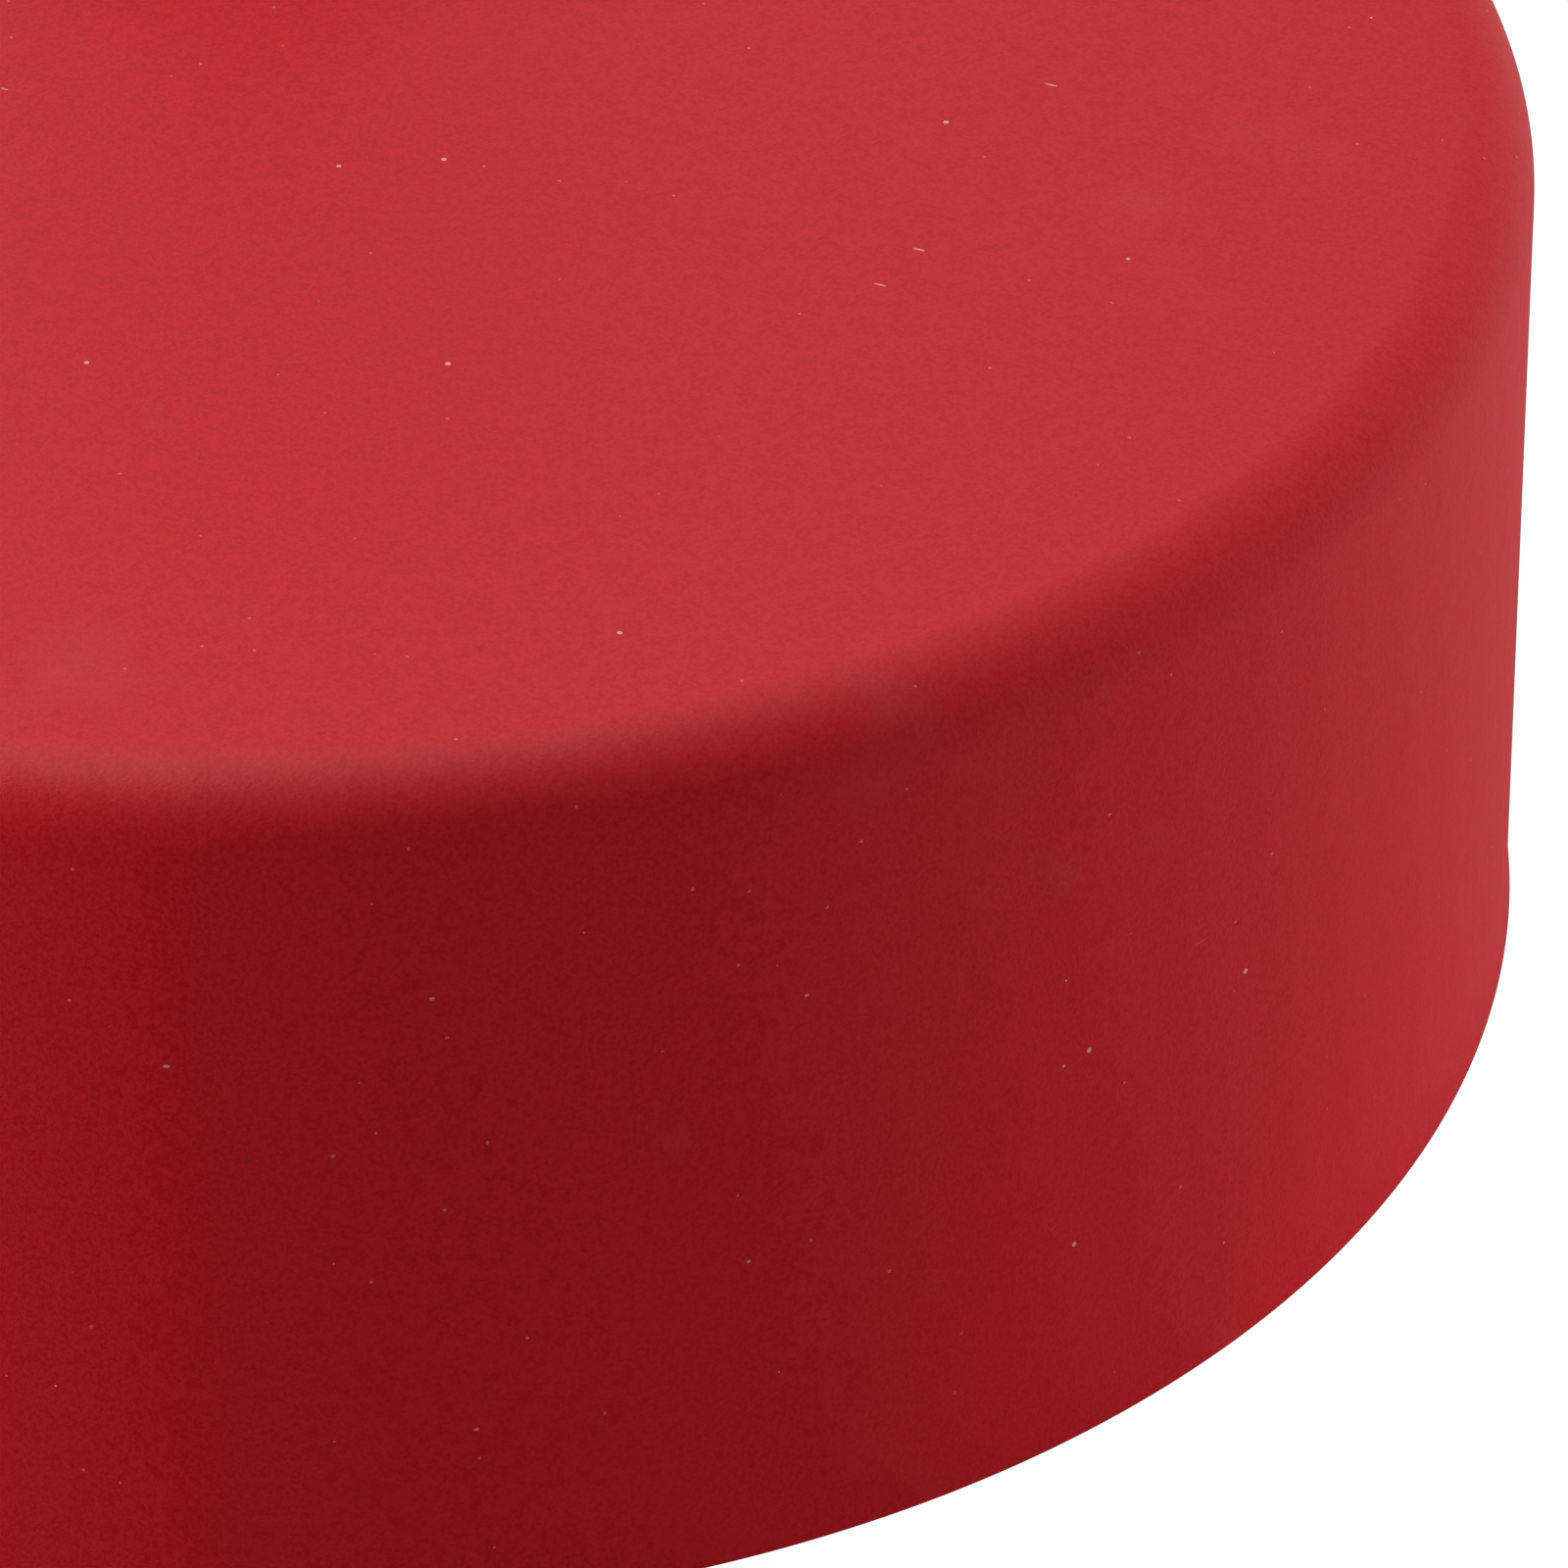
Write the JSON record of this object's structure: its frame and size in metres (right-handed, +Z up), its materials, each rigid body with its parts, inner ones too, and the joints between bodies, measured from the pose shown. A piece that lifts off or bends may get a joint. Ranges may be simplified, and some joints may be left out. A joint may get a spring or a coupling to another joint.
{
  "type": "curling stone",
  "caption": "Floor curling stone: red drum-shaped moulded cover over a weighted base on rolling balls, with a one-armed handle over the middle.",
  "frame": {"origin": "centre of the drum at floor level, where the three balls touch the floor", "axes": "+Z up along the drum's axis, +Y to the back, where the handle's foot is, +X to the right"},
  "size_m": [0.28, 0.28, 0.1828],
  "materials": {
    "cover": "soft-touch matte red",
    "base_plate": "fine-textured black moulding",
    "rubber": "black rubber sheet",
    "ballast": "as cast",
    "nylon": "natural nylon",
    "ball_steel": "polished bearing steel",
    "handle": "black powder coat",
    "grip": "ribbed black rubber",
    "steel": "zinc-plated steel"
  },
  "bodies": {
    "stone": {"cover": "cover", "base_plate": "base_plate", "ballast_pad": "rubber", "ballast_ring": "ballast", "base_screw_1": "steel", "base_screw_2": "steel", "base_screw_3": "steel", "base_screw_4": "steel", "base_screw_5": "steel", "base_screw_6": "steel", "ballast_screw_1": "steel", "ballast_screw_2": "steel", "ballast_screw_3": "steel", "ball_housing_1": "steel", "ball_seat_1": "nylon", "ball_retainer_1": "nylon", "support_ball_1_a": "ball_steel", "support_ball_1_b": "ball_steel", "support_ball_1_c": "ball_steel", "unit_screw_1_a": "steel", "unit_screw_1_b": "steel", "ball_housing_2": "steel", "ball_seat_2": "nylon", "ball_retainer_2": "nylon", "support_ball_2_a": "ball_steel", "support_ball_2_b": "ball_steel", "support_ball_2_c": "ball_steel", "unit_screw_2_a": "steel", "unit_screw_2_b": "steel", "ball_housing_3": "steel", "ball_seat_3": "nylon", "ball_retainer_3": "nylon", "support_ball_3_a": "ball_steel", "support_ball_3_b": "ball_steel", "support_ball_3_c": "ball_steel", "unit_screw_3_a": "steel", "unit_screw_3_b": "steel", "handle_gasket": "rubber", "handle_foot": "handle", "handle_arm": "handle", "grip_sleeve": "grip", "grip_collar": "steel", "grip_end_cap": "handle", "grip_screw": "steel", "handle_set_screw": "steel", "handle_backing_plate": "steel", "handle_screw_1": "steel", "handle_screw_2": "steel", "handle_screw_3": "steel", "handle_screw_4": "steel", "handle_nut_1": "steel", "handle_nut_2": "steel", "handle_nut_3": "steel", "handle_nut_4": "steel"},
    "ball_1": {"ball_1": "ball_steel"},
    "ball_2": {"ball_2": "ball_steel"},
    "ball_3": {"ball_3": "ball_steel"}
  },
  "joints": [
    {"name": "ball_1_roll", "type": "hinge", "parent": "stone", "child": "ball_1", "pos_m": [0, 0.085, 0.0127], "axis": [1, 0, 0], "continuous": true},
    {"name": "ball_2_roll", "type": "hinge", "parent": "stone", "child": "ball_2", "pos_m": [-0.07361, -0.0425, 0.0127], "axis": [1, 0, 0], "continuous": true},
    {"name": "ball_3_roll", "type": "hinge", "parent": "stone", "child": "ball_3", "pos_m": [0.07361, -0.0425, 0.0127], "axis": [1, 0, 0], "continuous": true}
  ]
}
